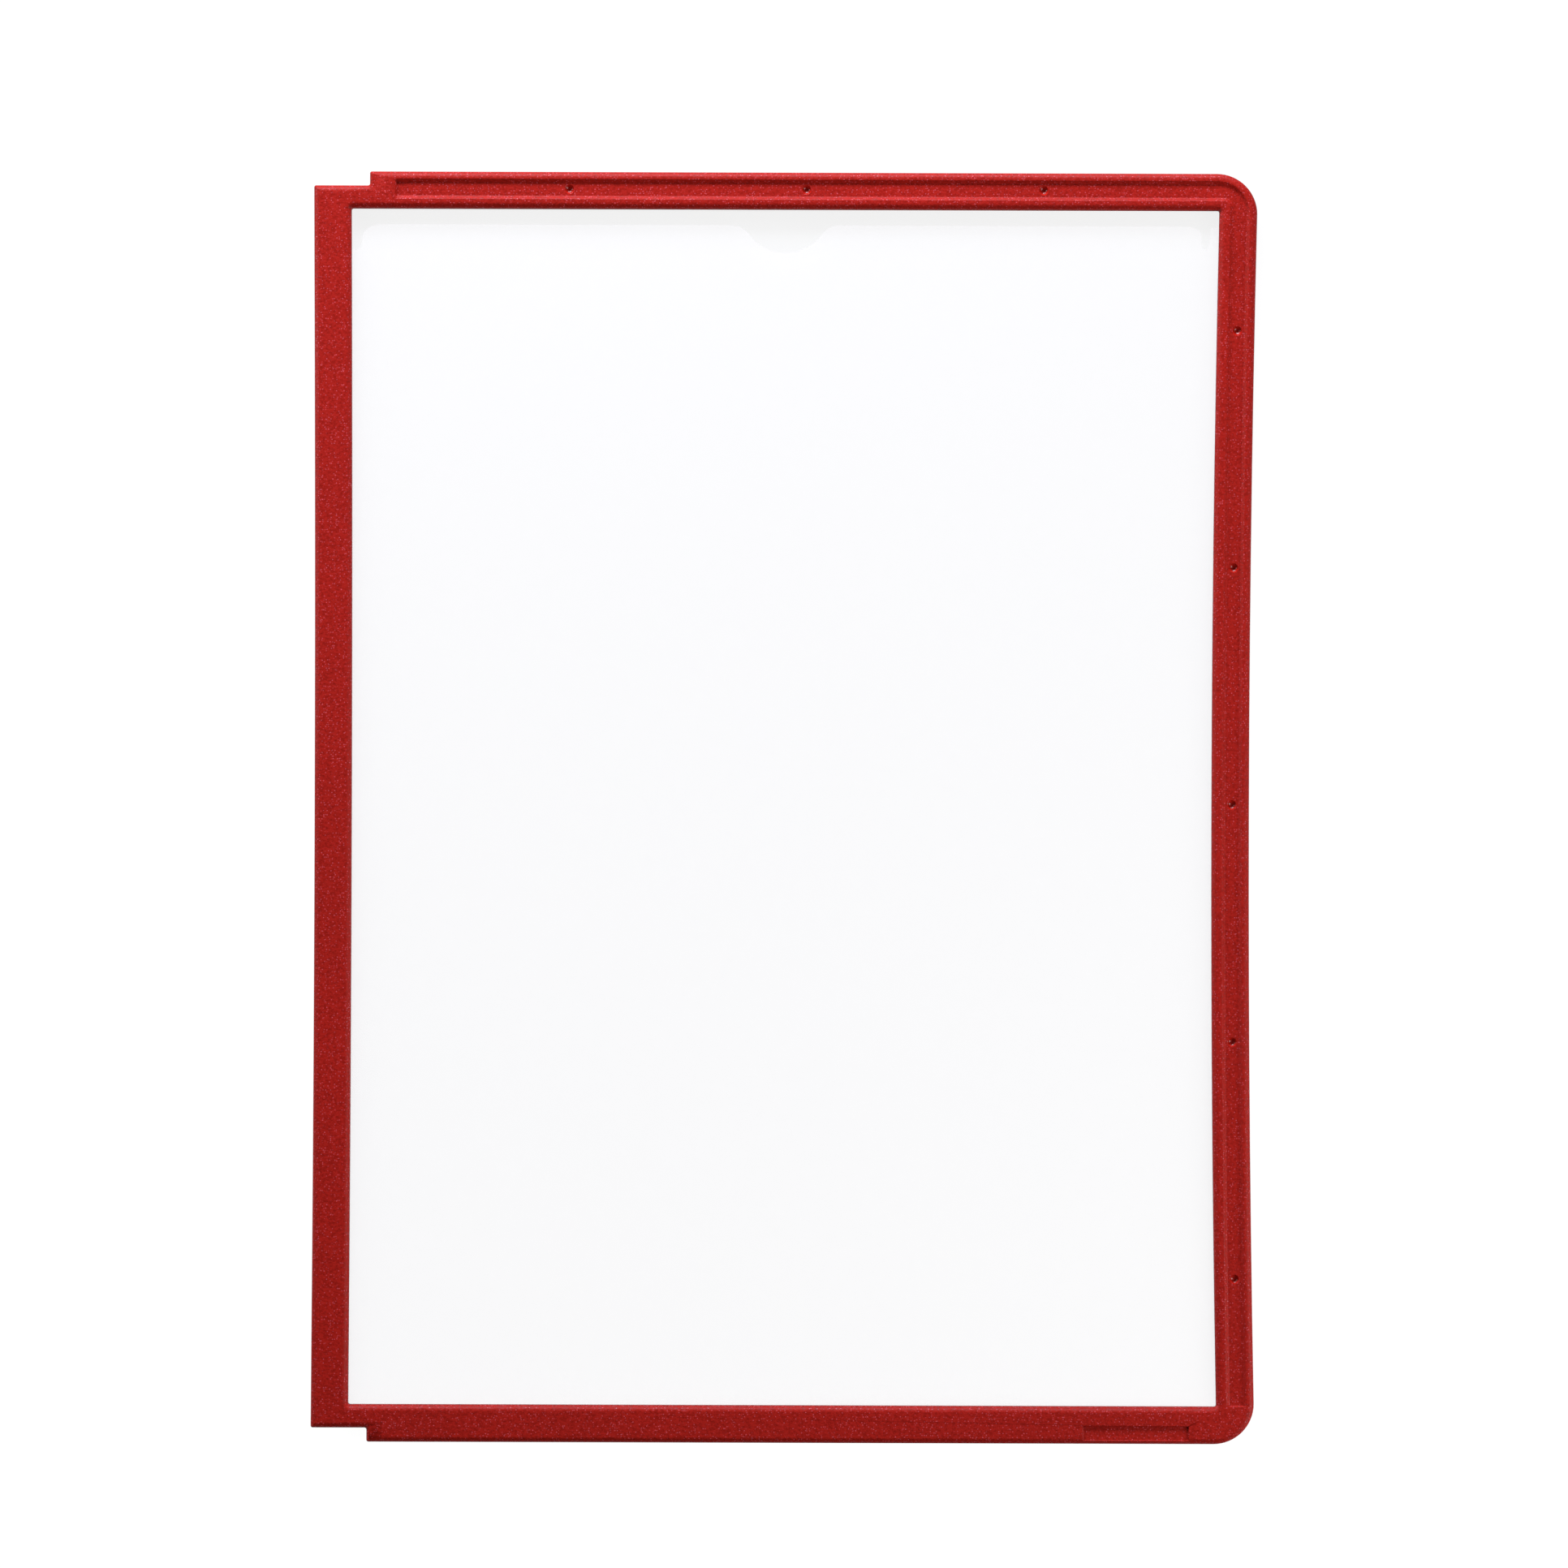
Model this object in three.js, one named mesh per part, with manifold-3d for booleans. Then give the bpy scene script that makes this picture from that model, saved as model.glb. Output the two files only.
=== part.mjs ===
// Document display panel: a moulded plastic frame that holds two clear films.
// Millimetres. The panel lies on its back: +Z is the front, +X the free edge, +Y the open top.
// The origin is the middle of the panel's outline, on the plane that its back lies on.

import * as THREE from "three";
import { mergeVertices } from "three/addons/utils/BufferGeometryUtils.js";
import Module from "manifold-3d";

// The sheet that the pocket takes, and the room that it has in the window
const sheetWidth = 210;
const sheetHeight = 297;
const sheetSideRoom = 6.3;
const sheetEndRoom = 1;

// Frame
const spineWidth = 9.3;
const freeRailWidth = 9.4;
const topRailWidth = 9.2;
const bottomRailWidth = 9.3;
const frameThickness = 4;
const frontEdgeRadius = 1.6;
const backEdgeRadius = 1.2;
const freeCornerRadius = 10.1;
const smallCornerRadius = 0.5;
const windowCornerRadius = 0.5;
const freeRailBow = 1.65;
const spineBow = 0.55;

// Steps where the spine is shorter than the frame, and the ramps beside them
const stepDepth = 3.5;
const stepFromSpineEdge = 13.9;
const rampLength = 4.2;
const rampDrop = 0.35;

// Channel in the front of the top rail and the free rail
const channelRim = 1.8;
const channelWidth = 5.2;
const channelWallRun = 1.05;
const channelEndWallRun = 0.45;
const channelDepth = 0.7;
const channelStart = 20.2;
const channelEndRadius = 0.8;
const channelInnerRadius = 1.4;

// Round dimples in the channel's floor
const dimpleDiameter = 2.4;
const dimpleDepth = 0.85;
const dimplePitch = 59.05;
const dimplesInTopRail = 3;
const dimplesInFreeRail = 5;
const topDimplesOffset = 5.2;
const freeDimplesOffset = 1;

// Shallow recess in the front of the bottom rail
const recessLength = 26.6;
const recessHeight = 3.9;
const recessDepth = 0.5;
const recessWallRun = 0.3;
const recessFromFreeEdge = 16.2;
const recessFromBottom = 0.75;
const recessCornerRadius = 0.3;

// Films
const filmThickness = 0.2;
const filmGap = 0.6;
const filmSeat = 3;
const seatEndClearance = 0.3;
const seatFaceClearance = 0.05;
const openEdgeDrop = 3.95;

// Thumb notch in the front film's open edge
const notchRadius = 11.1;
const notchDepth = 6.9;
const notchShoulder = 5.6;

// Slit between the front film and the spine, and the film's rounded corner beside it
const spineSlitWidth = 2.65;
const spineSlitDepth = 10.4;
const spineCornerRun = 5.75;
const spineCornerFall = 3.85;

// Relief slit near the free rail, the rounded corner beside it and the tab past it
const reliefSlitFromRail = 2.2;
const reliefSlitWidth = 2.2;
const reliefSlitDepth = 9.7;
const reliefCornerRun = 5.5;
const reliefCornerFall = 2.1;
const reliefTabDrop = 0.4;

// Fineness of the facets
const cornerSteps = 6;
const freeCornerSteps = 16;
const bowSteps = 14;
const edgeRoundSteps = 8;
const wallSteps = 8;
const dimpleSteps = 20;
const curveSteps = 12;

// Frame colour, and the films' colour
const frameColour = "#b0242a";
const filmColour = "#f4f4f6";

const windowWidth = sheetWidth + sheetSideRoom;
const windowHeight = sheetHeight + sheetEndRoom;
const width = spineWidth + windowWidth + freeRailWidth;
const height = bottomRailWidth + windowHeight + topRailWidth;
const left = -width / 2;
const right = width / 2;
const top = height / 2;
const bottom = -height / 2;
const windowLeft = left + spineWidth;
const windowRight = right - freeRailWidth;
const windowTop = top - topRailWidth;
const windowBottom = bottom + bottomRailWidth;
const spineTop = top - stepDepth;
const spineBottom = bottom + stepDepth;
const stepX = left + stepFromSpineEdge;
const front = frameThickness;

// How far a cutter runs past the face that it cuts, and the least radius of an inset corner
const past = 1;
const sharpest = 0.02;

const wasm = await Module();
wasm.setup();

// The long sides bow towards the window: most at mid height, nothing beyond the window's ends.
// Between the two sides the shift changes in step with X.
function bowed(x, y) {
  const middle = (windowTop + windowBottom) / 2;
  const along = Math.min(1, Math.abs(y - middle) / (windowHeight / 2));
  const across = (x - left) / width;
  const shift = spineBow * (1 - across) - freeRailBow * across;
  return [x + shift * (1 - along * along), y];
}

// The arc that rounds one corner of an outline, with the outline's sides moved in by inset.
function cornerArc(corners, i, inset) {
  const corner = corners[i];
  const previous = corners[(i + corners.length - 1) % corners.length];
  const next = corners[(i + 1) % corners.length];
  const here = new THREE.Vector2(corner.x, corner.y);
  const before = here.clone().sub(previous).normalize();
  const after = new THREE.Vector2(next.x, next.y).sub(here).normalize();
  const half = Math.atan2(before.cross(after), before.dot(after)) / 2;
  const turn = Math.sign(half);
  const inward = new THREE.Vector2(-before.y, before.x);
  const radius = Math.max(sharpest, corner.r - turn * inset);
  const setback = inset * Math.tan(half) + radius * Math.tan(Math.abs(half));
  const centre = here.addScaledVector(inward, inset + turn * radius).addScaledVector(before, -setback);
  const arm = inward.multiplyScalar(-turn * radius);
  const steps = corner.steps ?? cornerSteps;
  const points = [];
  for (let k = 0; k <= steps; k += 1) {
    const point = arm.clone().rotateAround(new THREE.Vector2(), (2 * half * k) / steps).add(centre);
    points.push([point.x, point.y]);
  }
  return points;
}

// Points spread evenly between two points, without the two themselves.
function between(from, to, parts) {
  const points = [];
  for (let k = 1; k < parts; k += 1) {
    const share = k / parts;
    points.push([from[0] + (to[0] - from[0]) * share, from[1] + (to[1] - from[1]) * share]);
  }
  return points;
}

// A closed outline with rounded corners, anticlockwise. Each corner is {x, y, r}, with steps for
// its arc and splits for the side after it. Inset moves every side in, and a negative one out.
// It has as many points at every inset, so that outlines can be joined in layers.
function outline(corners, inset = 0) {
  const arcs = corners.map((corner, i) => cornerArc(corners, i, inset));
  const points = arcs.flatMap((arc, i) => {
    const next = arcs[(i + 1) % arcs.length];
    return [...arc, ...between(arc[arc.length - 1], next[0], corners[i].splits ?? 1)];
  });
  return points.map(([x, y]) => bowed(x, y));
}

// A solid from a closed geometry: only the positions stay, with the shared vertices merged.
function solidOf(geometry) {
  geometry.deleteAttribute("normal");
  geometry.deleteAttribute("uv");
  const merged = mergeVertices(geometry);
  return new wasm.Manifold(
    new wasm.Mesh({
      numProp: 3,
      vertProperties: new Float32Array(merged.attributes.position.array),
      triVerts: new Uint32Array(merged.index.array),
    }),
  );
}

function geometryOf(solid) {
  const mesh = solid.getMesh();
  const geometry = new THREE.BufferGeometry();
  geometry.setAttribute("position", new THREE.BufferAttribute(mesh.vertProperties, 3));
  geometry.setIndex(new THREE.BufferAttribute(mesh.triVerts, 1));
  geometry.computeVertexNormals();
  return geometry;
}

// A solid through outlines at rising heights. Each layer is {z, points}.
function layered(layers) {
  const count = layers[0].points.length;
  const vertices = layers.flatMap(({ z, points }) => points.flatMap(([x, y]) => [x, y, z]));
  const index = [];
  for (let layer = 0; layer < layers.length - 1; layer += 1) {
    for (let i = 0; i < count; i += 1) {
      const j = (i + 1) % count;
      const a = layer * count + i;
      const b = layer * count + j;
      index.push(a, b, b + count, a, b + count, a + count);
    }
  }
  const faces = (points) =>
    THREE.ShapeUtils.triangulateShape(points.map(([x, y]) => new THREE.Vector2(x, y)), []);
  const last = (layers.length - 1) * count;
  for (const [a, b, c] of faces(layers[0].points)) {
    index.push(a, c, b);
  }
  for (const [a, b, c] of faces(layers[layers.length - 1].points)) {
    index.push(a + last, b + last, c + last);
  }
  const geometry = new THREE.BufferGeometry();
  geometry.setAttribute("position", new THREE.Float32BufferAttribute(vertices, 3));
  geometry.setIndex(index);
  return solidOf(geometry);
}

// A flat plate from an outline's points, between two heights.
function plate(points, low, high) {
  return layered([
    { z: low, points },
    { z: high, points },
  ]);
}

// Heights and insets of a wall with a rounded edge at the back and at the front.
function roundedEdges() {
  const levels = [];
  for (let k = 0; k <= edgeRoundSteps; k += 1) {
    const angle = ((Math.PI / 2) * k) / edgeRoundSteps;
    const inset = backEdgeRadius * (1 - Math.sin(angle));
    levels.push({ z: backEdgeRadius * (1 - Math.cos(angle)), inset });
  }
  for (let k = 0; k <= edgeRoundSteps; k += 1) {
    const angle = ((Math.PI / 2) * k) / edgeRoundSteps;
    const inset = frontEdgeRadius * (1 - Math.cos(angle));
    levels.push({ z: front - frontEdgeRadius * (1 - Math.sin(angle)), inset });
  }
  return levels;
}

// A block whose outer edges are rounded, front and back.
function roundedBlock(corners) {
  return layered(roundedEdges().map(({ z, inset }) => ({ z, points: outline(corners, inset) })));
}

// The window through the frame: it widens towards both faces by the rounded edges.
function windowCutter() {
  const small = windowCornerRadius;
  const corners = [
    { x: windowLeft, y: windowBottom, r: small },
    { x: windowRight, y: windowBottom, r: small, splits: bowSteps },
    { x: windowRight, y: windowTop, r: small },
    { x: windowLeft, y: windowTop, r: small, splits: bowSteps },
  ];
  const levels = roundedEdges();
  const first = { z: -past, inset: levels[0].inset };
  const last = { z: front + past, inset: levels[levels.length - 1].inset };
  const walls = [first, ...levels, last];
  return layered(walls.map(({ z, inset }) => ({ z, points: outline(corners, -inset) })));
}

// The frame's outside: a full-height panel whose spine end is stepped in at the top and bottom.
function frameBlock() {
  const small = smallCornerRadius;
  const free = { r: freeCornerRadius, steps: freeCornerSteps };
  return roundedBlock([
    { x: left, y: spineBottom, r: small },
    { x: stepX, y: spineBottom, r: small },
    { x: stepX, y: bottom, r: small },
    { x: right, y: bottom, ...free, splits: bowSteps },
    { x: right, y: top, ...free },
    { x: stepX, y: top, r: small },
    { x: stepX, y: spineTop, r: small },
    { x: left, y: spineTop, r: small, splits: bowSteps },
  ]);
}

// Beside each step the front drops below the spine's face, and ramps up along the rail.
// The spine's rounded end edge runs on beside the ramp.
function rampCutter() {
  const rampStart = stepX - smallCornerRadius - frontEdgeRadius;
  const rampEnd = stepX + rampLength;
  const slope = rampDrop / rampLength;
  const section = new THREE.Shape([
    new THREE.Vector2(rampStart, front + past),
    new THREE.Vector2(rampStart, front - slope * (rampEnd - rampStart)),
    new THREE.Vector2(rampEnd, front),
    new THREE.Vector2(rampEnd, front + past),
  ]);
  const length = height + 2 * past;
  const wedge = new THREE.ExtrudeGeometry(section, { depth: length, bevelEnabled: false });
  wedge.rotateX(Math.PI / 2);
  wedge.translate(0, length / 2, 0);
  const barEnd = rampEnd + past;
  const bar = roundedBlock([
    { x: left, y: spineBottom, r: smallCornerRadius },
    { x: barEnd, y: spineBottom, r: smallCornerRadius },
    { x: barEnd, y: spineTop, r: smallCornerRadius },
    { x: left, y: spineTop, r: smallCornerRadius },
  ]);
  const low = spineBottom + frontEdgeRadius;
  const high = spineTop - frontEdgeRadius;
  const above = [
    [left, low],
    [barEnd, low],
    [barEnd, high],
    [left, high],
  ];
  return solidOf(wedge).subtract(bar).subtract(plate(above, 0, front + 2 * past));
}

// The channel runs along the top rail, round the free corner and down the free rail.
// Its walls slope, and they ease in at the lip and out at the floor. The two end walls are
// steeper: there each layer's inset is partly taken back.
function channelCutter() {
  const outerX = right - channelRim;
  const outerY = top - channelRim;
  const innerX = outerX - channelWidth;
  const innerY = outerY - channelWidth;
  const startX = left + channelStart;
  const small = channelEndRadius;
  const takenBack = 1 - channelEndWallRun / channelWallRun;
  const channelPoints = (inset) => {
    const startHere = startX - inset * takenBack;
    const endHere = windowBottom - inset * takenBack;
    return outline(
      [
        { x: startHere, y: outerY, r: small },
        { x: startHere, y: innerY, r: small },
        { x: innerX, y: innerY, r: channelInnerRadius, splits: bowSteps },
        { x: innerX, y: endHere, r: small },
        { x: outerX, y: endHere, r: small, splits: bowSteps },
        { x: outerX, y: outerY, r: freeCornerRadius - channelRim, steps: freeCornerSteps },
      ],
      inset,
    );
  };
  const layers = [];
  for (let k = 0; k <= wallSteps; k += 1) {
    const share = k / wallSteps;
    const rise = (1 - Math.cos(Math.PI * share)) / 2;
    const z = front - channelDepth * (1 - rise);
    layers.push({ z, points: channelPoints(channelWallRun * (1 - share)) });
  }
  layers.push({ z: front + past, points: channelPoints(0) });
  return layered(layers);
}

// Shallow round dimples along the middle of the channel's floor, at one pitch.
function dimpleCutters() {
  const middle = channelRim + channelWidth / 2;
  const radius = dimpleDiameter / 2;
  const ballRadius = (radius * radius + dimpleDepth * dimpleDepth) / (2 * dimpleDepth);
  const centreZ = front - channelDepth - dimpleDepth + ballRadius;
  const places = [];
  for (let k = 0; k < dimplesInTopRail; k += 1) {
    const x = topDimplesOffset + (k - (dimplesInTopRail - 1) / 2) * dimplePitch;
    places.push([x, top - middle]);
  }
  for (let k = 0; k < dimplesInFreeRail; k += 1) {
    const y = freeDimplesOffset + (k - (dimplesInFreeRail - 1) / 2) * dimplePitch;
    places.push(bowed(right - middle, y));
  }
  return places.map(([x, y]) => {
    const ball = new THREE.SphereGeometry(ballRadius, dimpleSteps, dimpleSteps / 2);
    ball.rotateX(Math.PI / 2);
    ball.translate(x, y, centreZ);
    return solidOf(ball);
  });
}

// The recess is a plain plate sunk into the rail, with sloping walls.
function recessCutter() {
  const high = right - recessFromFreeEdge;
  const low = high - recessLength;
  const base = bottom + recessFromBottom;
  const corners = [
    { x: low, y: base, r: recessCornerRadius },
    { x: high, y: base, r: recessCornerRadius },
    { x: high, y: base + recessHeight, r: recessCornerRadius },
    { x: low, y: base + recessHeight, r: recessCornerRadius },
  ];
  return layered([
    { z: front - recessDepth, points: outline(corners, recessWallRun) },
    { z: front, points: outline(corners) },
    { z: front + past, points: outline(corners) },
  ]);
}

// A rectangle that reaches past the window into the rails by reach, up to a given height.
function seatedPoints(reach, high) {
  const low = windowBottom - reach;
  return outline([
    { x: windowLeft - reach, y: low, r: windowCornerRadius },
    { x: windowRight + reach, y: low, r: windowCornerRadius, splits: bowSteps },
    { x: windowRight + reach, y: high, r: windowCornerRadius },
    { x: windowLeft - reach, y: high, r: windowCornerRadius, splits: bowSteps },
  ]);
}

// The front film's outline: seated in the spine, the bottom rail and the free rail, and open
// along the top, with its rounded corners, slits and thumb notch.
function frontFilmPoints() {
  const low = windowBottom - filmSeat;
  const seatLeft = windowLeft - filmSeat;
  const seatRight = windowRight + filmSeat;
  const open = windowTop - openEdgeDrop;
  const tab = open - reliefTabDrop;
  const path = new THREE.Path();
  path.moveTo(seatLeft, low);
  path.lineTo(seatRight, low);
  path.lineTo(seatRight, tab);

  const slitRight = windowRight - reliefSlitFromRail;
  const slitLeft = slitRight - reliefSlitWidth;
  const slitMiddle = (slitLeft + slitRight) / 2;
  const slitBottom = windowTop - reliefSlitDepth;
  const reliefFoot = open - reliefCornerFall;
  path.lineTo(slitRight, tab);
  path.quadraticCurveTo(slitRight, slitBottom, slitMiddle, slitBottom);
  path.quadraticCurveTo(slitLeft, slitBottom, slitLeft, reliefFoot);
  path.quadraticCurveTo(slitLeft, open, slitLeft - reliefCornerRun, open);

  const middle = (windowLeft + windowRight) / 2;
  const rise = notchRadius - notchDepth;
  const drop = rise + notchShoulder;
  const spread = Math.sqrt((notchRadius + notchShoulder) ** 2 - drop ** 2);
  const lean = Math.atan2(drop, spread);
  const shoulderY = open - notchShoulder;
  path.absarc(middle + spread, shoulderY, notchShoulder, Math.PI / 2, Math.PI - lean, false);
  path.absarc(middle, open + rise, notchRadius, -lean, lean - Math.PI, true);
  path.absarc(middle - spread, shoulderY, notchShoulder, lean, Math.PI / 2, false);

  const spineSlit = windowLeft + spineSlitWidth;
  const spineFoot = open - spineCornerFall;
  const spineSlitBottom = windowTop - spineSlitDepth;
  path.lineTo(spineSlit + spineCornerRun, open);
  path.quadraticCurveTo(spineSlit, open, spineSlit, spineFoot);
  path.quadraticCurveTo(spineSlit, spineSlitBottom, windowLeft, spineSlitBottom);
  path.lineTo(seatLeft, spineSlitBottom);

  const points = path.getPoints(curveSteps).map((point) => [point.x, point.y]);
  const longest = windowHeight / bowSteps;
  return points
    .flatMap((point, i) => {
      const next = points[(i + 1) % points.length];
      const length = Math.hypot(next[0] - point[0], next[1] - point[1]);
      return [point, ...between(point, next, Math.ceil(length / longest))];
    })
    .map(([x, y]) => bowed(x, y));
}

const backFilmHigh = (front - filmGap) / 2;
const backFilmLow = backFilmHigh - filmThickness;
const frontFilmLow = (front + filmGap) / 2;
const frontFilmHigh = frontFilmLow + filmThickness;
const slotReach = filmSeat + seatEndClearance;

// Slots in the rails that hold the films' edges.
function filmSlots() {
  const openHigh = windowTop - openEdgeDrop + seatEndClearance;
  const face = seatFaceClearance;
  return [
    plate(seatedPoints(slotReach, windowTop + slotReach), backFilmLow - face, backFilmHigh + face),
    plate(seatedPoints(slotReach, openHigh), frontFilmLow - face, frontFilmHigh + face),
  ];
}

function frameSolid() {
  const cutters = [windowCutter(), rampCutter(), channelCutter(), recessCutter()];
  cutters.push(...dimpleCutters(), ...filmSlots());
  return cutters.reduce((solid, cutter) => solid.subtract(cutter), frameBlock());
}

const plastic = new THREE.MeshStandardMaterial({ color: frameColour, roughness: 0.55, metalness: 0 });
const film = new THREE.MeshStandardMaterial({
  color: filmColour,
  roughness: 0.25,
  metalness: 0,
  transparent: true,
  opacity: 0.35,
});

function named(name, solid, material) {
  const mesh = new THREE.Mesh(geometryOf(solid), material);
  mesh.name = name;
  return mesh;
}

const panel = new THREE.Group();
panel.add(named("frame", frameSolid(), plastic));
panel.add(named("front_film", plate(frontFilmPoints(), frontFilmLow, frontFilmHigh), film));
const backPoints = seatedPoints(filmSeat, windowTop + filmSeat);
panel.add(named("back_film", plate(backPoints, backFilmLow, backFilmHigh), film));

export default panel;
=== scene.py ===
# Document display panel: the looks of a grained red frame with two clear films.
# Metres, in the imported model's own frame: the panel lies on its back and +Z is its front.

import math

import bmesh
import bpy
import numpy as np
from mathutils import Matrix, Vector


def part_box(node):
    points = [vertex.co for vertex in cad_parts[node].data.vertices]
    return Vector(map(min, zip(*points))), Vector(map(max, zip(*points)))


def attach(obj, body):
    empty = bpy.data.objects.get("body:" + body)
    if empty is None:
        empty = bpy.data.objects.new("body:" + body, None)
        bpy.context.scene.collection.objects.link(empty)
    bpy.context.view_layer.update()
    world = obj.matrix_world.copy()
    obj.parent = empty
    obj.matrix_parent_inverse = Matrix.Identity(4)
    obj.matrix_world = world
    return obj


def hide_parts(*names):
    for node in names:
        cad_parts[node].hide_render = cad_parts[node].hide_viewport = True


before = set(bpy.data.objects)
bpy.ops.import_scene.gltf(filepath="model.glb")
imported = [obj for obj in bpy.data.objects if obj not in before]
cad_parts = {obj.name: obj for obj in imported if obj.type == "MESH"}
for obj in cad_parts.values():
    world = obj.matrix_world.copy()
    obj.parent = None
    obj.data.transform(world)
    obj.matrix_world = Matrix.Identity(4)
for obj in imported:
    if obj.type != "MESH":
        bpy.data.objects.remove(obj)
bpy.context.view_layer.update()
print("frame loaded")

mm = 0.001
white = (1, 1, 1, 1)


# Helpers

# The linear value of an sRGB hex colour: a part up to 0.04045 is divided by 12.92, and a larger
# one has 0.055 added, is divided by 1.055 and raised to the power of 2.4.
def linear(hexColour):
    parts = np.array([int(hexColour[i : i + 2], 16) / 255 for i in (1, 3, 5)])
    curve = np.where(parts <= 0.04045, parts / 12.92, ((parts + 0.055) / 1.055) ** 2.4)
    return (*curve.tolist(), 1.0)


# Adds one node. Inputs are plain values, or sockets to link from, and settings are the node's own.
def addNode(tree, kind, inputs=None, **settings):
    node = tree.nodes.new(kind)
    for name, value in settings.items():
        setattr(node, name, value)
    for name, value in (inputs or {}).items():
        if isinstance(value, bpy.types.NodeSocket):
            tree.links.new(value, node.inputs[name])
        else:
            node.inputs[name].default_value = value
    return node


# Camera, lamps and world

camera = {
    "photoPixels": 1932,
    "pixelsPerMm": 4.95,  # at the frame's front face
    "panelMiddlePixel": (966.0, 995.3),
    "rollDegrees": 0.17,  # the panel leans this far clockwise
    "distance": 1.6,
    "clip": (0.01, 20),
    "sensorMm": 36.0,
}


# The panel's middle lies off the picture's middle, so the camera moves by that many pixels in mm.
# Lens length over sensor width equals distance over the width that the picture covers.
def makeCamera():
    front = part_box("frame")[1].z
    half = camera["photoPixels"] / 2
    pixel = mm / camera["pixelsPerMm"]
    offX = (half - camera["panelMiddlePixel"][0]) * pixel
    offY = (camera["panelMiddlePixel"][1] - half) * pixel
    roll = math.radians(camera["rollDegrees"])
    data = bpy.data.cameras.new("camera")
    data.sensor_width = camera["sensorMm"]
    data.lens = camera["sensorMm"] * camera["distance"] / (camera["photoPixels"] * pixel)
    data.clip_start, data.clip_end = camera["clip"]
    obj = bpy.data.objects.new("camera", data)
    x = offX * math.cos(roll) - offY * math.sin(roll)
    y = offX * math.sin(roll) + offY * math.cos(roll)
    obj.location = (x, y, front + camera["distance"])
    obj.rotation_euler = (0, 0, roll)
    bpy.context.scene.collection.objects.link(obj)
    bpy.context.scene.camera = obj
    bpy.context.scene.view_settings.view_transform = "Standard"


# Soft boxes: where each stands, its width and height, watts and colour. All are aimed at the
# panel's middle. The key stands beyond the panel's top edge, low and a little to its left.
lamps = {
    "key": {"at": (-0.1, 0.77, 0.31), "size": (0.7, 0.2), "watts": 14.5, "colour": "#e9efff"},
    "rightFill": {"at": (0.7, -0.3, 0.35), "size": (0.3, 0.5), "watts": 5.2, "colour": "#ffffff"},
    "leftStrip": {"at": (-0.8, 0.2, 0.25), "size": (0.2, 0.6), "watts": 3.6, "colour": "#ffffff"},
}
studioWalls = {"towardsBottom": 0.03, "towardsTop": 0.1}  # strengths, blended along Y


# An area lamp shines along its own -Z, so it is turned until that points at the panel.
def makeLamps():
    for name, lamp in lamps.items():
        data = bpy.data.lights.new(name, "AREA")
        data.shape = "RECTANGLE"
        data.size, data.size_y = lamp["size"]
        data.energy = lamp["watts"]
        data.color = linear(lamp["colour"])[:3]
        obj = bpy.data.objects.new(name, data)
        obj.location = lamp["at"]
        obj.rotation_euler = (-Vector(lamp["at"])).to_track_quat("-Z", "Y").to_euler()
        bpy.context.scene.collection.objects.link(obj)


def makeWorld():
    world = bpy.data.worlds.new("studio")
    world.use_nodes = True
    tree = world.node_tree
    way = addNode(tree, "ShaderNodeTexCoord").outputs["Generated"]
    alongY = addNode(tree, "ShaderNodeSeparateXYZ", {"Vector": way}).outputs["Y"]
    low, high = studioWalls["towardsBottom"], studioWalls["towardsTop"]
    wallInputs = {"Value": alongY, "From Min": -1.0, "To Min": low, "To Max": high}
    walls = addNode(tree, "ShaderNodeMapRange", wallInputs).outputs["Result"]
    tree.links.new(walls, tree.nodes["Background"].inputs["Strength"])
    tree.nodes["Background"].inputs["Color"].default_value = white
    bpy.context.scene.world = world


# Materials

plasticIor = 1.49  # polypropylene
noiseSpread = {"From Min": 0.3, "From Max": 0.7}  # where most of a noise pattern's values lie


def newMaterial(name):
    material = bpy.data.materials.new(name)
    material.use_nodes = True
    tree = material.node_tree
    return material, tree, tree.nodes["Principled BSDF"]


redPlastic = {
    "colour": "#a41910",
    "mottleColour": "#97170f",
    # Painted shade: the grain's low spots are painted darker, as the shade in its pits
    "pitShadeColour": "#7c120b",
    "pitShadeShare": 0.55,
    "pitShadeFrom": (0.56, 0.36),  # grain heights with no painted pit shade, and with all of it
    # Painted highlight: pale pink glints painted into the colour at the specks
    "paintedGlintColour": "#e06876",
    "speckShare": 0.5,
    "speckReach": (0.12, 0.4),  # of a cell's width: full within the first, none past the second
    "speckCells": (0.45, 0.7),  # only the cells whose random number lies past these have a speck
    "speckPolish": 0.5,  # roughness taken off a full speck, so that it glints on the round edges
    "roughness": (0.42, 0.6),
    "grainMm": 0.62,  # spark-eroded grain, drawn a little coarser than life so that it shows
    "speckMm": 0.5,
    "mottleMm": 24,
    "bumpMm": 0.12,
    "bumpStrength": 0.9,
    "specular": 0.12,
}
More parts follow.
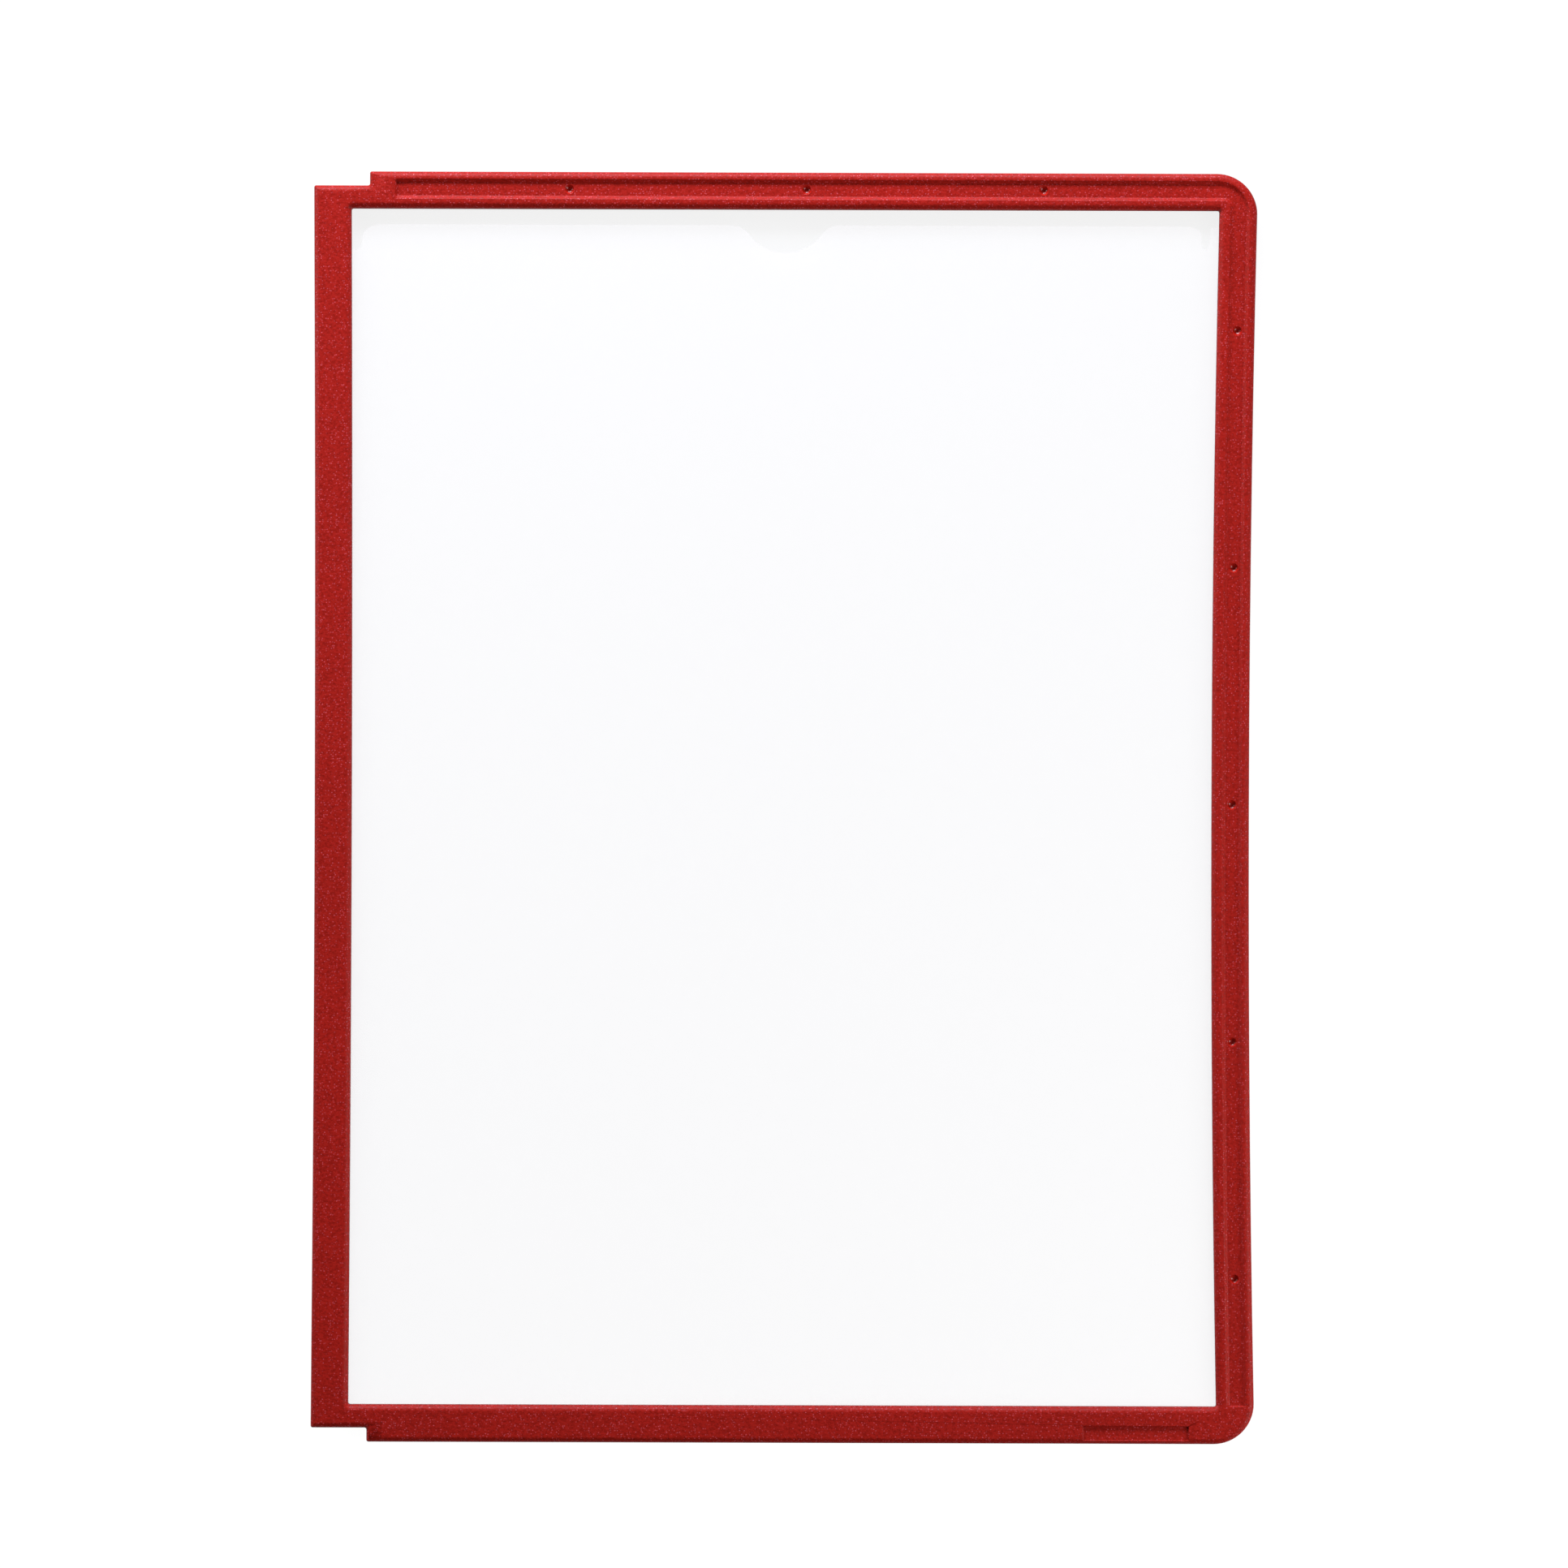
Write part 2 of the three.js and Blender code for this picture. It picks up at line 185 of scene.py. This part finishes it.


# Polypropylene moulded against a spark-eroded tool: a dull, evenly pitted red, painted darker in
# the grain's low spots as shade in its pits, with fine pale specks painted in as glints where a
# pit would catch the light. A Mix node for colours takes its share at input 0 and the two colours
# at 6 and 7, and gives the result at output 2.
def grainedPolypropylene():
    look = redPlastic
    material, tree, shader = newMaterial("grained red polypropylene, moulded")
    place = addNode(tree, "ShaderNodeTexCoord").outputs["Object"]
    grainInputs = {"Vector": place, "Scale": 1 / (look["grainMm"] * mm), "Detail": 2.0}
    grain = addNode(tree, "ShaderNodeTexNoise", grainInputs).outputs["Fac"]
    speckInputs = {"Vector": place, "Scale": 1 / (look["speckMm"] * mm)}
    specks = addNode(tree, "ShaderNodeTexVoronoi", speckInputs).outputs
    near, far = look["speckReach"]
    reachInputs = {"Value": specks["Distance"], "From Min": near, "From Max": far, "To Max": 0.0}
    reachInputs["To Min"] = look["speckShare"]
    reach = addNode(tree, "ShaderNodeMapRange", reachInputs).outputs["Result"]
    few, many = look["speckCells"]
    cellInputs = {"Value": specks["Color"], "From Min": few, "From Max": many}
    cell = addNode(tree, "ShaderNodeMapRange", cellInputs).outputs["Result"]
    shareInputs = {0: reach, 1: cell}
    share = addNode(tree, "ShaderNodeMath", shareInputs, operation="MULTIPLY").outputs[0]
    mottleInputs = {"Vector": place, "Scale": 1 / (look["mottleMm"] * mm), "Detail": 3.0}
    mottle = addNode(tree, "ShaderNodeTexNoise", mottleInputs).outputs["Fac"]
    baseInputs = {0: mottle, 6: linear(look["colour"]), 7: linear(look["mottleColour"])}
    base = addNode(tree, "ShaderNodeMix", baseInputs, data_type="RGBA").outputs[2]
    # Painted shade: darker where the grain's bump is low, in its pits.
    flat, pitted = look["pitShadeFrom"]
    pitShadeInputs = {"Value": grain, "From Min": flat, "From Max": pitted, "To Max": look["pitShadeShare"]}
    pitShade = addNode(tree, "ShaderNodeMapRange", pitShadeInputs).outputs["Result"]
    pitShadedInputs = {0: pitShade, 6: base, 7: linear(look["pitShadeColour"])}
    pitShadedBase = addNode(tree, "ShaderNodeMix", pitShadedInputs, data_type="RGBA").outputs[2]
    # Painted highlight: the specks take the pale glint colour
    colourInputs = {0: share, 6: pitShadedBase, 7: linear(look["paintedGlintColour"])}
    colour = addNode(tree, "ShaderNodeMix", colourInputs, data_type="RGBA").outputs[2]
    tree.links.new(colour, shader.inputs["Base Color"])
    low, high = look["roughness"]
    roughInputs = {"Value": grain, **noiseSpread, "To Min": low, "To Max": high}
    rough = addNode(tree, "ShaderNodeMapRange", roughInputs).outputs["Result"]
    glintInputs = {0: share, 1: -look["speckPolish"], 2: rough}
    glint = addNode(tree, "ShaderNodeMath", glintInputs, operation="MULTIPLY_ADD").outputs[0]
    tree.links.new(glint, shader.inputs["Roughness"])
    bumpDepth = look["bumpMm"] * mm
    bumpInputs = {"Height": grain, "Strength": look["bumpStrength"], "Distance": bumpDepth}
    bump = addNode(tree, "ShaderNodeBump", bumpInputs).outputs["Normal"]
    tree.links.new(bump, shader.inputs["Normal"])
    shader.inputs["IOR"].default_value = plasticIor
    shader.inputs["Specular IOR Level"].default_value = look["specular"]
    return material


polishedRed = {"colour": "#a41910", "roughness": (0.22, 0.32), "wearMm": 0.8, "specular": 0.3}


# The same plastic against the turned and polished tool pins that form the dimples: smoother
# than the grain around it, so that each dimple has one small highlight.
def polishedPolypropylene():
    look = polishedRed
    material, tree, shader = newMaterial("polished red polypropylene, dimple floors")
    place = addNode(tree, "ShaderNodeTexCoord").outputs["Object"]
    wearInputs = {"Vector": place, "Scale": 1 / (look["wearMm"] * mm), "Detail": 2.0}
    wear = addNode(tree, "ShaderNodeTexNoise", wearInputs).outputs["Fac"]
    low, high = look["roughness"]
    roughInputs = {"Value": wear, **noiseSpread, "To Min": low, "To Max": high}
    rough = addNode(tree, "ShaderNodeMapRange", roughInputs).outputs["Result"]
    tree.links.new(rough, shader.inputs["Roughness"])
    shader.inputs["Base Color"].default_value = linear(look["colour"])
    shader.inputs["IOR"].default_value = plasticIor
    shader.inputs["Specular IOR Level"].default_value = look["specular"]
    return material


clearFilms = {
    "front": {"colour": "#fff9f6", "alpha": 0.067},
    # Painted shade: the back film's grey darkens what shows through it, most plainly above the
    # open edge
    "back": {"colour": "#898989", "alpha": 0.046},
}
filmFinish = {"roughness": (0.22, 0.34), "hazeMm": 0.9}


# Cast polypropylene film, embossed to a faint haze that cuts reflections: what lies behind it
# shows through, and its highlights are broad and soft.
def hazedFilm(name, look):
    material, tree, shader = newMaterial(name)
    place = addNode(tree, "ShaderNodeTexCoord").outputs["Object"]
    hazeInputs = {"Vector": place, "Scale": 1 / (filmFinish["hazeMm"] * mm), "Detail": 0.0}
    haze = addNode(tree, "ShaderNodeTexNoise", hazeInputs).outputs["Fac"]
    low, high = filmFinish["roughness"]
    roughInputs = {"Value": haze, **noiseSpread, "To Min": low, "To Max": high}
    rough = addNode(tree, "ShaderNodeMapRange", roughInputs).outputs["Result"]
    tree.links.new(rough, shader.inputs["Roughness"])
    shader.inputs["Base Color"].default_value = linear(look["colour"])
    shader.inputs["Alpha"].default_value = look["alpha"]
    shader.inputs["IOR"].default_value = plasticIor
    return material


table = {
    "half": 2.5,  # metres
    "clearMm": 0.05,  # below the panel's back, so that the two faces never share a plane
    "colour": "#595958",
    "roughness": 0.9,
    "glow": {"bottom": 0.985, "top": 0.912},  # less at the panel's top, where the key adds more
}


# A matte pale table. Its glow is seen by the camera and in reflections only, so that the table
# shows white while its diffuse share still carries the panel's shadow.
def paleTable():
    material, tree, shader = newMaterial("pale matte table")
    ray = addNode(tree, "ShaderNodeLightPath").outputs
    seen = ray["Is Camera Ray"]
    for name in ("Is Glossy Ray", "Is Transmission Ray"):
        sumInputs = {0: seen, 1: ray[name]}
        seen = addNode(tree, "ShaderNodeMath", sumInputs, operation="ADD").outputs[0]
    place = addNode(tree, "ShaderNodeTexCoord").outputs["Object"]
    alongY = addNode(tree, "ShaderNodeSeparateXYZ", {"Vector": place}).outputs["Y"]
    low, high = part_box("frame")
    levelInputs = {"Value": alongY, "From Min": low.y, "From Max": high.y}
    levelInputs["To Min"] = table["glow"]["bottom"]
    levelInputs["To Max"] = table["glow"]["top"]
    level = addNode(tree, "ShaderNodeMapRange", levelInputs).outputs["Result"]
    glow = addNode(tree, "ShaderNodeMath", {0: seen, 1: level}, operation="MULTIPLY").outputs[0]
    tree.links.new(glow, shader.inputs["Emission Strength"])
    shader.inputs["Emission Color"].default_value = white
    shader.inputs["Base Color"].default_value = linear(table["colour"])
    shader.inputs["Roughness"].default_value = table["roughness"]
    shader.inputs["Specular IOR Level"].default_value = 0.0
    return material


def makeTable():
    half = table["half"]
    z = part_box("frame")[0].z - table["clearMm"] * mm
    mesh = bpy.data.meshes.new("table")
    corners = [(-half, -half, z), (half, -half, z), (half, half, z), (-half, half, z)]
    mesh.from_pydata(corners, [], [(0, 1, 2, 3)])
    mesh.materials.append(paleTable())
    obj = bpy.data.objects.new("table", mesh)
    bpy.context.scene.collection.objects.link(obj)


# The panel's own lines

# Rail widths, bows and the films' seat, in mm
pocket = {
    "spineWidth": 9.3,
    "freeRailWidth": 9.4,
    "topRailWidth": 9.2,
    "bottomRailWidth": 9.3,
    "spineBow": 0.55,
    "freeRailBow": 1.65,
    "seat": 3,
}


# The window's edges in mm, from the frame's box and the rails' widths.
def windowEdges():
    low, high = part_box("frame")
    left = low.x / mm + pocket["spineWidth"]
    right = -low.x / mm - pocket["freeRailWidth"]
    bottom = low.y / mm + pocket["bottomRailWidth"]
    top = high.y / mm - pocket["topRailWidth"]
    return left, right, bottom, top


# Moves x towards the window by the sides' bow: the whole bow at mid height, falling off with the
# square of the height, and shared between the sides in step with x.
def bowed(x, y):
    left, right, bottom, top = windowEdges()
    outerLeft = left - pocket["spineWidth"]
    outerRight = right + pocket["freeRailWidth"]
    along = np.clip(np.abs(y - (bottom + top) / 2) / ((top - bottom) / 2), 0, 1)
    across = (x - outerLeft) / (outerRight - outerLeft)
    shift = pocket["spineBow"] * (1 - across) - pocket["freeRailBow"] * across
    return x + shift * (1 - along**2), y


# Frame

frameFinish = {"mergeDistance": 1e-6, "sharpDegrees": 16}
# The dimples in the channel's floor, in mm: they lie on a line inset from the outer edge
dimples = {"inset": 4.4, "pitch": 59.05, "radius": 1.3, "heights": (2.4, 3.29)}
dimpleRows = {"top": {"count": 3, "offset": 5.2}, "free": {"count": 5, "offset": 1.0}}


def dimplePlaces():
    low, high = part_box("frame")
    inset, pitch = dimples["inset"], dimples["pitch"]
    row, column = dimpleRows["top"], dimpleRows["free"]
    places = []
    for k in range(row["count"]):
        x = row["offset"] + (k - (row["count"] - 1) / 2) * pitch
        places.append((x, high.y / mm - inset))
    for k in range(column["count"]):
        y = column["offset"] + (k - (column["count"] - 1) / 2) * pitch
        places.append(bowed(-low.x / mm - inset, y))
    return [(float(x), float(y)) for x, y in places]


# Whether a point in mm lies inside one of the dimples, below the channel's floor.
def nearDimple(point, places):
    low, high = dimples["heights"]
    near = np.hypot(*(places - point[:2]).T).min() < dimples["radius"]
    return bool(near and low < point[2] < high)


# The frame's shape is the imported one, with its facets merged and shaded as the round edges
# that they stand for. Flat faces keep their own direction, because large faces weigh most.
def makeFrame():
    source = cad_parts["frame"]
    mesh = source.data.copy()
    mesh.name = "frame_moulding"
    loose = bmesh.new()
    loose.from_mesh(mesh)
    bmesh.ops.remove_doubles(loose, verts=loose.verts, dist=frameFinish["mergeDistance"])
    loose.to_mesh(mesh)
    loose.free()
    mesh.shade_smooth()
    mesh.set_sharp_from_angle(angle=math.radians(frameFinish["sharpDegrees"]))
    places = np.array(dimplePlaces())
    inDimple = [nearDimple(np.array(vertex.co) / mm, places) for vertex in mesh.vertices]
    for edge in mesh.edges:
        if all(inDimple[vertex] for vertex in edge.vertices):
            edge.use_edge_sharp = False
    mesh.materials.clear()
    mesh.materials.append(grainedPolypropylene())
    mesh.materials.append(polishedPolypropylene())
    for face in mesh.polygons:
        face.material_index = int(nearDimple(np.array(face.center) / mm, places))
    obj = bpy.data.objects.new("frame_moulding", mesh)
    bpy.context.scene.collection.objects.link(obj)
    weighted = obj.modifiers.new("flat faces stay flat", "WEIGHTED_NORMAL")
    weighted.keep_sharp = True
    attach(obj, "root")
    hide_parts("frame")


# Films

# Sizes in mm, as cut
openEdge = {
    "drop": 3.95,
    "notchRadius": 11.1,
    "notchDepth": 6.9,
    "notchShoulder": 5.6,
    "spineSlit": (2.65, 10.4),
    "spineCorner": (5.75, 3.85),
    "reliefFromRail": 2.2,
    "reliefSlit": (2.2, 9.7),
    "reliefCorner": (5.5, 2.1),
    "tabDrop": 0.4,
}
filmForm = {
    "rows": 60,
    "columnMm": 5,
    "curveSteps": 16,
    "rippleMm": 0.09,  # half of the ripple's full height
    "rippleSpanMm": (190, 260),
    "fadeMm": 30,  # the ripple fades to nothing over this much from each held edge
    "topFadeMm": 4,  # and over this much from the top
    "sharpDegrees": 40,
}


# Points of a quadratic curve: (1-t)^2 times the start, 2t(1-t) times the bend, t^2 times the end.
def curve(start, bend, end):
    t = np.linspace(0, 1, filmForm["curveSteps"] + 1)[:, None]
    start, bend, end = (np.array(point, float) for point in (start, bend, end))
    return (1 - t) ** 2 * start + 2 * t * (1 - t) * bend + t**2 * end


# Points of a circle's arc from one angle to another.
def arc(middle, radius, start, end):
    angle = np.linspace(start, end, filmForm["curveSteps"] + 1)
    return np.stack([middle[0] + radius * np.cos(angle), middle[1] + radius * np.sin(angle)], 1)


# A straight run with a point about every few mm.
def run(start, end):
    start, end = np.array(start, float), np.array(end, float)
    count = max(2, round(np.hypot(*(end - start)) / filmForm["columnMm"]) + 1)
    return start + np.linspace(0, 1, count)[:, None] * (end - start)


# The front film's upper edge from the free rail to the spine: tab, relief slit, rounded corner,
# open edge with the thumb notch between two shoulders, rounded corner and slit at the spine.
def frontUpperEdge():
    left, right, _, top = windowEdges()
    edge = openEdge
    seat = pocket["seat"]
    openY = top - edge["drop"]
    tabY = openY - edge["tabDrop"]
    slitRight = right - edge["reliefFromRail"]
    slitLeft = slitRight - edge["reliefSlit"][0]
    slitMiddle = (slitLeft + slitRight) / 2
    slitBottom = top - edge["reliefSlit"][1]
    cornerRun, cornerFall = edge["reliefCorner"]
    middle = (left + right) / 2
    radius, shoulder = edge["notchRadius"], edge["notchShoulder"]
    rise = radius - edge["notchDepth"]
    spread = math.sqrt((radius + shoulder) ** 2 - (rise + shoulder) ** 2)
    lean = math.atan2(rise + shoulder, spread)
    shoulderY = openY - shoulder
    spineX = left + edge["spineSlit"][0]
    spineBottom = top - edge["spineSlit"][1]
    spineRun, spineFall = edge["spineCorner"]
    parts = [
        run((right + seat, tabY), (slitRight, tabY)),
        curve((slitRight, tabY), (slitRight, slitBottom), (slitMiddle, slitBottom)),
        curve((slitMiddle, slitBottom), (slitLeft, slitBottom), (slitLeft, openY - cornerFall)),
        curve((slitLeft, openY - cornerFall), (slitLeft, openY), (slitLeft - cornerRun, openY)),
        run((slitLeft - cornerRun, openY), (middle + spread, openY)),
        arc((middle + spread, shoulderY), shoulder, math.pi / 2, math.pi - lean),
        arc((middle, openY + rise), radius, -lean, lean - math.pi),
        arc((middle - spread, shoulderY), shoulder, lean, math.pi / 2),
        run((middle - spread, openY), (spineX + spineRun, openY)),
        curve((spineX + spineRun, openY), (spineX, openY), (spineX, openY - spineFall)),
        curve((spineX, openY - spineFall), (spineX, spineBottom), (left, spineBottom)),
        run((left, spineBottom), (left - seat, spineBottom)),
    ]
    return np.concatenate([parts[0], *(part[1:] for part in parts[1:])])


# The back film's upper edge runs straight across, seated in the top rail.
def backUpperEdge():
    left, right, _, top = windowEdges()
    seat = pocket["seat"]
    return run((right + seat, top + seat), (left - seat, top + seat))


# A film is a grid: each column rises from the bottom seat to one point of the upper edge. Its
# ripple is one plus the product of a sine wave along x and one along y, which fades to nothing
# towards the edges. Side is 1 for the front film and -1 for the back one: they ripple apart.
def filmSheet(name, node, upperEdge, side, look):
    left, right, bottom, top = windowEdges()
    low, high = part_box(node)
    share = np.linspace(0, 1, filmForm["rows"] + 1)
    base = bottom - pocket["seat"]
    x = np.repeat(upperEdge[:, 0][:, None], len(share), 1)
    y = base + (upperEdge[:, 1][:, None] - base) * share
    spanX, spanY = filmForm["rippleSpanMm"]
    fade, topFade = filmForm["fadeMm"], filmForm["topFadeMm"]
    inside = np.clip((x - left) / fade, 0, 1) * np.clip((right - x) / fade, 0, 1)
    inside = inside * np.clip((y - bottom) / fade, 0, 1) * np.clip((top - y) / topFade, 0, 1)
    wave = 1 + np.sin(x * 2 * math.pi / spanX + side) * np.sin(y * 2 * math.pi / spanY + 2 * side)
    ripple = side * filmForm["rippleMm"] * wave * inside
    flat = np.stack(bowed(x, y), 2).reshape(-1, 2) * mm
    lift = ripple.reshape(-1) * mm
    upper = np.column_stack([flat, high.z + lift])
    lower = np.column_stack([flat, low.z + lift])
    columns, rows = x.shape
    index = np.arange(columns * rows).reshape(columns, rows)
    faces = np.stack([index[:-1, :-1], index[:-1, 1:], index[1:, 1:], index[1:, :-1]], 2)
    faces = faces.reshape(-1, 4)
    rim = np.concatenate([index[:, 0], index[-1, 1:], index[-2::-1, -1], index[0, -2:0:-1]])
    after = np.roll(rim, -1)
    under = columns * rows
    sides = np.stack([rim, after, after + under, rim + under], 1)
    mesh = bpy.data.meshes.new(name)
    everyFace = np.concatenate([faces, faces[:, ::-1] + under, sides])
    mesh.from_pydata(np.concatenate([upper, lower]).tolist(), [], everyFace.tolist())
    mesh.shade_smooth()
    mesh.set_sharp_from_angle(angle=math.radians(filmForm["sharpDegrees"]))
    mesh.materials.append(hazedFilm(name.replace("_", " ") + ", cast polypropylene", look))
    obj = bpy.data.objects.new(name, mesh)
    bpy.context.scene.collection.objects.link(obj)
    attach(obj, "root")
    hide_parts(node)


makeCamera()
makeLamps()
makeWorld()
makeTable()
print("camera, lamps and table made")

makeFrame()
print("frame made")

filmSheet("front_sheet", "front_film", frontUpperEdge(), 1, clearFilms["front"])
filmSheet("back_sheet", "back_film", backUpperEdge(), -1, clearFilms["back"])
print("films made")
